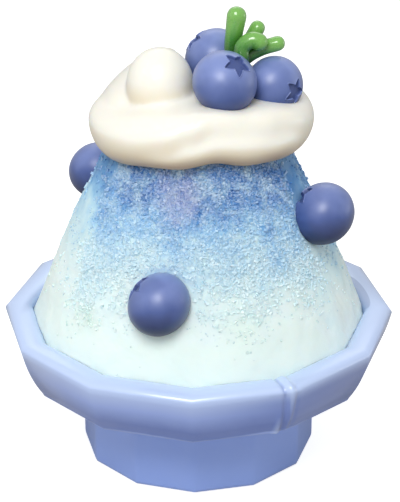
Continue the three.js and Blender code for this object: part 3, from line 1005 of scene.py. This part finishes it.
def scattering(name, ice, grain, density, seed, smallest, largest):
    """A Geometry Nodes tree that strews copies of a grain over a surface and realizes them.

    The places are drawn on a plain cone and then put on the surface, so that they come out the same each
    time. The surface says by its "strewn" values where grains lie."""
    tree = bpy.data.node_groups.new(name, "GeometryNodeTree")
    for way in ("INPUT", "OUTPUT"):
        tree.interface.new_socket(name="Geometry", in_out=way, socket_type="NodeSocketGeometry")
    surface = tree.nodes.new("NodeGroupInput").outputs["Geometry"]
    shape = {
        "Vertices": 96,
        "Side Segments": 64,
        "Radius Top": cone_radius(ice, ICE_HIDDEN_ABOVE) * MM,
        "Radius Bottom": cone_radius(ice, ICE_HIDDEN_BELOW) * MM,
        "Depth": (ICE_HIDDEN_ABOVE - ICE_HIDDEN_BELOW) * MM,
    }
    cone = add(tree, "GeometryNodeMeshCone", shape, fill_type="NONE").outputs["Mesh"]
    lifting = {"Geometry": cone, "Translation": UP * ICE_HIDDEN_BELOW * MM}
    raised = add(tree, "GeometryNodeTransform", lifting).outputs["Geometry"]
    here = add(tree, "GeometryNodeInputNamedAttribute", {"Name": "strewn"}, data_type="FLOAT")
    found = {"Mesh": surface, "Value": here.outputs["Attribute"]}
    weight = add(tree, "GeometryNodeSampleNearestSurface", found, data_type="FLOAT").outputs["Value"]
    drawing = {"Mesh": raised, "Density": times(tree, weight, density), "Seed": seed}
    drawn = add(tree, "GeometryNodeDistributePointsOnFaces", drawing, distribute_method="RANDOM")
    nearest = add(tree, "GeometryNodeProximity", {"Geometry": surface}, target_element="FACES")
    placing = {"Geometry": drawn.outputs["Points"], "Position": nearest.outputs["Position"]}
    turning = {"Min": (0.0, 0.0, 0.0), "Max": (math.tau, math.tau, math.tau), "Seed": seed + 1}
    turned = add(tree, "FunctionNodeRandomValue", turning, data_type="FLOAT_VECTOR")
    source = add(tree, "GeometryNodeObjectInfo", {"Object": grain}, transform_space="ORIGINAL")
    copies = {
        "Points": add(tree, "GeometryNodeSetPosition", placing).outputs["Geometry"],
        "Instance": source.outputs["Geometry"],
        "Rotation": turned.outputs[0],
        "Scale": random_number(tree, seed + 2, smallest, largest),
    }
    strewn = add(tree, "GeometryNodeInstanceOnPoints", copies).outputs["Instances"]
    toning = {"Geometry": strewn, "Name": "tone", "Value": random_number(tree, seed + 3)}
    toned = add(tree, "GeometryNodeStoreNamedAttribute", toning, data_type="FLOAT", domain="INSTANCE")
    real = add(tree, "GeometryNodeRealizeInstances", {"Geometry": toned.outputs["Geometry"]})
    feed(tree, tree.nodes.new("NodeGroupOutput"), {"Geometry": real.outputs["Geometry"]})
    return tree


def strew(name, ice, grain, weight_at, count, seed, smallest, largest):
    """A piece of about count loose grains on the ice core, from smallest to largest times their size."""
    piece = copy_of(bpy.data.objects["ice_core"], name)
    attributes = piece.data.attributes
    attributes.remove(attributes["grainy"])
    paint(piece, "strewn", lambda place, normal: weight_at(place))
    weights = [value.value for value in attributes["strewn"].data]
    area = sum(
        face.area * sum(weights[v] for v in face.vertices) / len(face.vertices)
        for face in piece.data.polygons
    )
    apply(piece, "NODES", node_group=scattering(name, ice, grain, count / area, seed, smallest, largest))
    discard(grain)
    return piece


def grain_material(name, ice, light, dark, rough):
    """Grains of one kind, each with its own tone between a light and a dark cast of the stain."""
    material, tree, shader, places = new_material(
        name, (0.2, (0.6, 0.85, 1.0), 0.001), IOR=1.31, Specular_IOR_Level=0.25
    )
    colour, rise = ice_colour(tree, places, ice, 1.0)
    tone = stored(tree, "tone")
    bright = mix(tree, light, colour, shade(0xF6FCFF))
    deep = mix(tree, stain_share(tree, rise, dark), colour, dyed(tree, colour, shade(0x9CB2CE)))
    roughness = between(tree, tone, rough + 0.15, rough)
    feed(tree, shader, {"Base Color": mix(tree, tone, deep, bright), "Roughness": roughness})
    return material


def lies_bare(place, clearance):
    """1 where loose grains may lie, and 0 low at the lip, under the cream and on the berries."""
    return berry_clearance(place, clearance) * within(place.z / MM, *GRAINS_FROM_TO)


class DESSERT_OT_grains(Operator):
    """Strews loose grains of ice over the coarse part of the cone"""

    bl_idname = "dessert.grains"
    bl_label = "Loose grains"

    def execute(self, context):
        ice = context.scene.dessert_ice
        count = ice.grain_count

        def coarse(place):
            return graininess(place) ** 1.8 * lies_bare(place, 1.2)

        def border(place):
            patch = fade(waver(place, 1.0, 6), -0.15, 0.25)
            return (0.02 + patch * within(graininess(place), 0.0, 0.12, 0.3, 0.7)) * lies_bare(place, 1.0)

        kinds = (
            ("ice_flakes", flake(), coarse, count, 11, 0.8, 2.0, (0.38, 0.3, 0.25)),
            ("ice_nubs", nub(), coarse, count, 23, 0.7, 1.6, (0.3, 0.6, 0.3)),
            ("ice_crumbs", nub(), border, count // 7, 37, 0.4, 0.9, (0.1, 1.1, 0.3)),
        )
        for name, grain, weight, number, seed, smallest, largest, (light, dark, rough) in kinds:
            piece = strew(name, ice, grain, weight, number, seed, smallest, largest)
            material = grain_material(name.replace("_", " ").capitalize(), ice, light, dark, rough)
            hand_over(piece, material, ["shaved_ice"])
        return {"FINISHED"}


# ---- Cream ----


def cream_outline(cream):
    """The cream's section, from under its rolled edge, round the outside and over the top."""
    middle = (cream.edge_radius / MM, cream.height / MM)
    roll, rise, drop = cream.roll / MM, cream.rise / MM, cream.drop / MM
    underside = middle[1] - drop + CREAM_UNDERSIDE
    outline = [(0.0, underside), (middle[0] - roll, underside)]
    start, end = CREAM_EDGE
    for step in range(CREAM_EDGE_STEPS + 1):
        turned = math.radians(start + (end - start) * step / CREAM_EDGE_STEPS)
        reach = rise if turned > 0 else drop
        outline.append((middle[0] + roll * math.cos(turned), middle[1] + reach * math.sin(turned)))
    brow = outline[-1]
    for step in range(1, CREAM_CROWN_STEPS + 1):
        inward = step / CREAM_CROWN_STEPS
        lift = (cream.crown / MM - brow[1]) * math.sin(inward * math.pi / 2)
        outline.append((brow[0] * (1 - inward), brow[1] + lift))
    return outline


def swell_edge(piece, cream):
    """Makes the rolled edge uneven, as the swells say."""
    brow = cream.height + cream.rise * math.sin(math.radians(CREAM_EDGE[1]))
    for vertex in piece.data.vertices:
        place = vertex.co.copy()
        azimuth = math.degrees(azimuth_of(place))
        change = {"out": 0.0, "height": 0.0, "rise": 0.0, "drop": 0.0}
        for swell in CREAM_SWELLS:
            away = (azimuth - swell["azimuth"] + 180) % 360 - 180
            weight = math.exp(-((away / swell["spread"]) ** 2))
            for key in change:
                change[key] += swell[key] * weight * MM
        radius = place.xy.length
        out = max(0.0, (radius - cream.edge_radius) / cream.roll) * change["out"]
        above = place.z - cream.height
        if place.z > brow:
            sunk = (cream.crown - place.z) / (cream.crown - brow)
            lift = (change["height"] + change["rise"]) * sunk
        elif above > 0:
            lift = change["height"] + above / cream.rise * change["rise"]
        else:
            lift = change["height"] + above / cream.drop * change["drop"]
        if radius > TINY:
            vertex.co = Vector((place.x, place.y, 0.0)) * ((radius + out) / radius)
            vertex.co.z = place.z + lift
    piece.data.update()


def along_stops(stops, where):
    """A smooth value between (position, value) stops."""
    for (a, low), (b, high) in zip(stops, stops[1:]):
        if where <= b:
            return low + (high - low) * fade(where, a, b)
    return stops[-1][1]


def fold_edge(piece):
    """Raises the swirl's crest on the rolled edge and hollows the edge under it."""
    for vertex in piece.data.vertices:
        turned = azimuth_of(vertex.co)
        azimuth = math.degrees(turned)
        share = within(azimuth, *CREAM_CREST_FROM_TO) * fade(vertex.co.xy.length / MM, *CREAM_CREST_INNER)
        if share == 0:
            continue
        above = vertex.co.z / MM - along_stops(CREAM_CREST, azimuth)
        push = 0.0
        for most, width, below in CREAM_CREST_PUSH:
            push += most * math.exp(-(((above + below) / width) ** 2))
        vertex.co += outward(turned, math.radians(CREAM_CREST_TILT)) * push * share * MM
    piece.data.update()


def cream_material(cream):
    """Glossy cream, with painted shade that makes it darker and warmer where it faces down."""
    material, tree, shader, places = new_material(
        "Whipped cream", (0.4, (1.0, 0.8, 0.5), 0.003), IOR=1.45, Coat_Roughness=0.22
    )
    grain = fine_grain(tree, places, 420.0, 0.3, 110.0)
    # Painted shade: darker and warmer where the surface faces down.
    stops = ((0.14, "under"), (0.36, "shadow"), (0.62, "cream"), (1.0, "cream"))
    body = blend_of(tree, stored(tree, "upward"), cream, stops)
    feed(tree, shader, {
        "Base Color": mix(tree, times(tree, grain["Mask"], 0.05), body, cream.shadow),
        "Roughness": between(tree, grain["Mask"], 0.3, 0.4),
        "Coat Weight": between(tree, grain["Mask"], 0.35, 0.25),
        "Normal": bump(tree, grain["Height"], 0.08, 0.2),
    })
    return material


class DESSERT_OT_cream(Operator):
    """Makes the dollop of whipped cream with its rolled edge and the knob of its swirl"""

    bl_idname = "dessert.cream"
    bl_label = "Whipped cream"

    def execute(self, context):
        cream = context.scene.dessert_cream
        parts = [turn("whipped_cream", cream_outline(cream), 128)]
        swell_edge(parts[0], cream)
        for number, lump in enumerate(CREAM_LUMPS):
            clear_selection()
            bpy.ops.mesh.primitive_uv_sphere_add(
                segments=48,
                ring_count=24,
                radius=MM,
                location=point(lump["at"]),
                rotation=(0.0, math.radians(lump["lean"]), 0.0),
                scale=lump["size"],
            )
            parts.append(begin(f"lump_{number}"))
        piece = join(parts)
        apply(piece, "REMESH", mode="VOXEL", voxel_size=CREAM_VOXEL * MM)
        apply(piece, "SMOOTH", factor=0.5, iterations=17)
        fold_edge(piece)
        apply(piece, "SMOOTH", factor=0.5, iterations=4)
        carve(piece, turn("cone_cutter", cone_outline(context.scene.dessert_ice, 4.0), 96))
        press_berries(piece, TOP_BERRIES)
        tidy_shell(piece)
        paint_upward(piece)
        soften(piece, 50)
        hand_over(piece, cream_material(cream), ["cream"])
        return {"FINISHED"}


# ---- Blueberries ----


def shape_berry(squash):
    """A berry of radius 1 mm at the origin, with the star-shaped hollow of its calyx on top."""
    clear_selection()
    bpy.ops.mesh.primitive_uv_sphere_add(segments=80, ring_count=40, radius=MM, scale=(1, 1, squash))
    form = begin("berry_form")

    def skin_height(radius):
        return squash * math.sqrt(max(0.0, MM * MM - radius * radius))

    crown_height = skin_height(CALYX_WIDTH * MM)
    pick(form, "FACE", lambda centre, normal: centre.z > crown_height)
    for border, rise in ((0.02, 0.02), (0.03, -CALYX_DEPTH)):
        bpy.ops.mesh.inset(thickness=border * MM)
        bpy.ops.mesh.extrude_region_move(TRANSFORM_OT_translate={"value": (0.0, 0.0, rise * MM)})
    bpy.ops.transform.resize(value=(0.9, 0.9, 0.5))
    stop_editing()
    low, reach = CALYX_STAR
    for vertex in form.data.vertices:
        place = vertex.co.copy()
        radius = place.xy.length
        if place.z < 0.5 * crown_height or radius < TINY * MM:
            continue
        turned = azimuth_of(place) / math.tau * CALYX_POINTS % 1
        star = low + reach * (1 - abs(2 * turned - 1)) ** 1.4
        share = within(radius / (CALYX_WIDTH * MM), *CALYX_REACH)
        drawn = radius * (1 + (star - 1) * share)
        vertex.co.xy = place.xy * drawn / radius
        vertex.co.z = place.z - skin_height(radius) + skin_height(drawn)
    form.data.update()
    apply(form, "SUBSURF", levels=1, render_levels=1)

    def hollow_at(place, normal):
        below_skin = skin_height(place.xy.length) - place.z
        return fade(below_skin, 0.0, 0.5 * CALYX_DEPTH * MM) * (place.z > 0.6 * crown_height)

    paint(form, "calyx", hollow_at)
    return form


def berry_material(berry):
    """Dark skin under a patchy waxy bloom, with a dull calyx.

    Painted light makes the tops and the higher berries palest, and painted shade darkens the undersides.
    """
    material, tree, shader, places = new_material(
        "Blueberry skin", (0.05, (0.3, 0.3, 1.0), 0.002), Coat_Roughness=0.38, Specular_IOR_Level=0.35
    )
    grain = fine_grain(tree, places, 900.0, 0.26, 170.0)
    patches = remap(tree, speckle(tree, places, 110.0), 0.30, 0.66, smooth=True)
    bloom = times(tree, patches, between(tree, grain["Mask"], 0.8, 1.0))
    calyx, upward = stored(tree, "calyx"), stored(tree, "upward")
    # Painted light: the bloom is laid on most where the skin faces up, so the tops are palest.
    bloom_and_top_light = times(tree, upward, between(tree, bloom, 0.75, 1.0))
    # Painted light: the berries that sit higher are made paler.
    higher = remap(tree, split(tree, places)["Z"], 0.095, 0.125, -0.04, 0.12)
    # Painted shade: the skin turns to the dark underside colour where it faces down.
    stops = ((0.14, "under"), (0.46, "skin"), (0.95, "bloom"))
    skin = blend_of(tree, maths(tree, "ADD", bloom_and_top_light, higher), berry, stops)
    open_skin = between(tree, calyx, 0.95, 0.0)
    feed(tree, shader, {
        "Base Color": mix(tree, calyx, skin, berry.calyx),
        "Roughness": between(tree, bloom, 0.4, 0.48),
        "Coat Weight": times(tree, open_skin, remap(tree, upward, 0.2, 0.55, 0.15, 1.0)),
        "Normal": bump(tree, grain["Height"], 0.1, 0.08),
    })
    return material


class DESSERT_OT_berries(Operator):
    """Makes the six blueberries, three on the cream and three pressed into the ice"""

    bl_idname = "dessert.berries"
    bl_label = "Blueberries"

    def execute(self, context):
        berry = context.scene.dessert_berry
        form = shape_berry(berry.squash)
        material = berry_material(berry)
        for name, facts in BERRIES.items():
            piece = copy_of(form, "blueberry_" + name)
            lean = Vector(facts["calyx"]).to_track_quat("Z", "Y").to_matrix().to_4x4()
            spun = Matrix.Rotation(math.radians(facts["turn"]), 4, "Z")
            placed = Matrix.Translation(point(facts["at"])) @ lean @ spun
            piece.matrix_world = placed @ Matrix.Scale(facts["radius"], 4)
            take(piece)
            settle()
            relief(piece, "Uneven " + name, "CLOUDS", 11.0, 0.25)
            paint_upward(piece)
            soften(piece, 60)
            hand_over(piece, material, ["berry_" + name])
        discard(form)
        return {"FINISHED"}


# ---- Sprig ----


def rounded_line(points, steps):
    """Points along a smooth curve that passes through all the given ones."""
    ends = [points[0] * 2 - points[1], *points, points[-1] * 2 - points[-2]]
    line = [points[0]]
    for a, b, c, d in zip(ends, ends[1:], ends[2:], ends[3:]):
        for step in range(1, steps + 1):
            t = step / steps
            curve = (2 * a - 5 * b + 4 * c - d) * t**2 + (3 * b - a - 3 * c + d) * t**3
            line.append(0.5 * (2 * b + (c - a) * t + curve))
    return line


def draw_shoot(name, points, base, tip):
    """A round shoot along a line, thickened from base to tip, with a domed end."""
    line = rounded_line([point(p) for p in points], 4)
    along = (line[-1] - line[-2]).normalized()
    radii = [base + (tip - base) * number / (len(line) - 1) for number in range(len(line))]
    end = line[-1]
    for degrees in DOME_STEPS:
        turned = math.radians(degrees)
        line.append(end + along * math.sin(turned) * tip * MM)
        radii.append(tip * math.cos(turned))
    shoot = draw_chain(name, line)
    take(shoot)
    modifier = shoot.modifiers.new("Skin", "SKIN")
    modifier.use_smooth_shade = True
    for vertex, radius in zip(shoot.data.skin_vertices[0].data, radii):
        vertex.radius = (radius * MM * SKIN_SHRINKS, radius * MM * SKIN_SHRINKS)
    bpy.ops.object.modifier_apply(modifier=modifier.name)
    apply(shoot, "SUBSURF", levels=2, render_levels=2)
    return shoot


def shoot_material(sprig):
    """Glossy green that turns paler towards the tips, with faint spots."""
    material, tree, shader, places = new_material(
        "Green shoots", (0.15, (0.4, 1.0, 0.2), 0.0015), Coat_Roughness=0.12
    )
    rise = stored(tree, "along")
    grain = fine_grain(tree, places, 900.0, 0.25, 260.0)
    body = blend_of(tree, rise, sprig, ((0.1, "leaf"), (0.55, "middle"), (1.0, "tip")))
    feed(tree, shader, {
        "Base Color": mix(tree, times(tree, grain["Mask"], 0.12), body, sprig.tip),
        "Roughness": between(tree, grain["Mask"], 0.22, 0.34),
        "Coat Weight": between(tree, rise, 0.4, 0.85),
        "Normal": bump(tree, grain["Height"], 0.2, 0.15),
    })
    return material


class DESSERT_OT_sprig(Operator):
    """Makes the sprig of four fleshy green shoots that stands between the berries"""

    bl_idname = "dessert.sprig"
    bl_label = "Green sprig"

    def execute(self, context):
        parts = [draw_shoot("green_sprig", [SPRIG_FOOT, SPRIG_FORK], SPRIG_STEM, SPRIG_STEM)]
        for number, (base, tip, line) in enumerate(SHOOTS):
            parts.append(draw_shoot(f"shoot_{number}", [SPRIG_FORK, *line], base, tip))
        piece = join(parts)
        apply(piece, "REMESH", mode="VOXEL", voxel_size=SPRIG_VOXEL * MM)
        apply(piece, "SMOOTH", factor=0.5, iterations=5)
        tidy_shell(piece)
        fork = point(SPRIG_FORK)
        paint(piece, "along", lambda place, normal: fade((place - fork).length / MM, *SHOOT_TIP_FROM))
        soften(piece, 70)
        hand_over(piece, shoot_material(context.scene.dessert_sprig), ["herb_sprig"])
        return {"FINISHED"}


# ---- Stage ----


def floor_material():
    """White paper that glows a little for the camera alone, so that the floor stays white."""
    material, tree, shader, places = new_material("White floor", Roughness=0.9, Specular_IOR_Level=0.1)
    seen = add(tree, "ShaderNodeLightPath", {}).outputs["Is Camera Ray"]
    feed(tree, shader, {
        "Base Color": mix(tree, speckle(tree, places, 30.0), shade(0xC4C4C4), shade(0xC0C0C0)),
        "Emission Color": shade(0xFFFFFF),
        "Emission Strength": times(tree, seen, 0.8),
    })
    return material


def add_light(name, strength, aim, azimuth, elevation, away, width, height):
    """A soft panel light, seen from the aim at an azimuth and elevation in degrees."""
    toward = outward(math.radians(azimuth), math.radians(elevation))
    clear_selection()
    bpy.ops.object.light_add(type="AREA", location=aim + toward * away)
    light = bpy.context.active_object
    light.name = name
    light.data.shape = "ELLIPSE"
    light.data.size, light.data.size_y = width, height
    light.data.energy = strength
    light.rotation_euler = toward.to_track_quat("Z", "Y").to_euler()


class DESSERT_OT_stage(Operator):
    """Makes the white floor, the soft light and the camera"""

    bl_idname = "dessert.stage"
    bl_label = "Stage"

    def execute(self, context):
        stage = context.scene.dessert_stage
        clear_selection()
        bpy.ops.mesh.primitive_grid_add(x_subdivisions=4, y_subdivisions=4, size=FLOOR_SIZE)
        floor = begin("floor")
        edit_all(floor)
        move(0.0, 0.0, -FLOOR_DROP)
        stop_editing()
        floor.data.materials.append(floor_material())

        world = bpy.data.worlds.new("White room")
        world.use_nodes = True
        sky = {"Color": shade(0xFFFFFF), "Strength": stage.sky}
        feed(world.node_tree, world.node_tree.nodes["Background"], sky)
        context.scene.world = world
        middle = UP * stage.aim_height
        for name, facts in LIGHTS.items():
            add_light(name, getattr(stage, name), middle, *facts)

        right = outward(stage.azimuth + math.pi / 2)
        back = outward(stage.azimuth, stage.elevation)
        bpy.ops.object.camera_add(location=right * stage.aim_right + middle + back * stage.distance)
        camera = context.active_object
        camera.name = "camera"
        camera.rotation_euler = (-back).to_track_quat("-Z", "Y").to_euler()
        camera.data.sensor_width = 36.0
        camera.data.lens = stage.focal
        camera.data.dof.use_dof = False
        camera.data.clip_start, camera.data.clip_end = 0.01, 20.0
        context.scene.camera = camera
        context.scene.view_settings.view_transform = "Standard"
        return {"FINISHED"}


# ---- Sidebar and run ----

OPERATORS = (
    DESSERT_OT_bowl,
    DESSERT_OT_berries,
    DESSERT_OT_ice,
    DESSERT_OT_grains,
    DESSERT_OT_cream,
    DESSERT_OT_sprig,
    DESSERT_OT_stage,
)
SETTINGS = {
    "dessert_bowl": BowlSettings,
    "dessert_ice": IceSettings,
    "dessert_cream": CreamSettings,
    "dessert_berry": BerrySettings,
    "dessert_sprig": SprigSettings,
    "dessert_stage": StageSettings,
}


class DESSERT_PT_sidebar(Panel):
    """Lists the dessert's sizes, colours and makers"""

    bl_label = "Shaved ice dessert"
    bl_space_type = "VIEW_3D"
    bl_region_type = "UI"
    bl_category = "Dessert"

    def draw(self, context):
        for name, kind in SETTINGS.items():
            box = self.layout.box()
            for key in kind.__annotations__:
                box.prop(getattr(context.scene, name), key)
        for operator in OPERATORS:
            self.layout.operator(operator.bl_idname)


def register():
    for kind in (*SETTINGS.values(), *OPERATORS, DESSERT_PT_sidebar):
        bpy.utils.register_class(kind)
    for name, kind in SETTINGS.items():
        setattr(bpy.types.Scene, name, PointerProperty(type=kind))


def unregister():
    for name in SETTINGS:
        delattr(bpy.types.Scene, name)
    for kind in (DESSERT_PT_sidebar, *reversed(OPERATORS), *reversed(SETTINGS.values())):
        bpy.utils.unregister_class(kind)


def main():
    register()
    bpy.ops.dessert.bowl()
    bpy.ops.dessert.berries()
    bpy.ops.dessert.ice()
    bpy.ops.dessert.grains()
    bpy.ops.dessert.cream()
    bpy.ops.dessert.sprig()
    bpy.ops.dessert.stage()
    clear_selection()


if __name__ == "__main__":
    main()
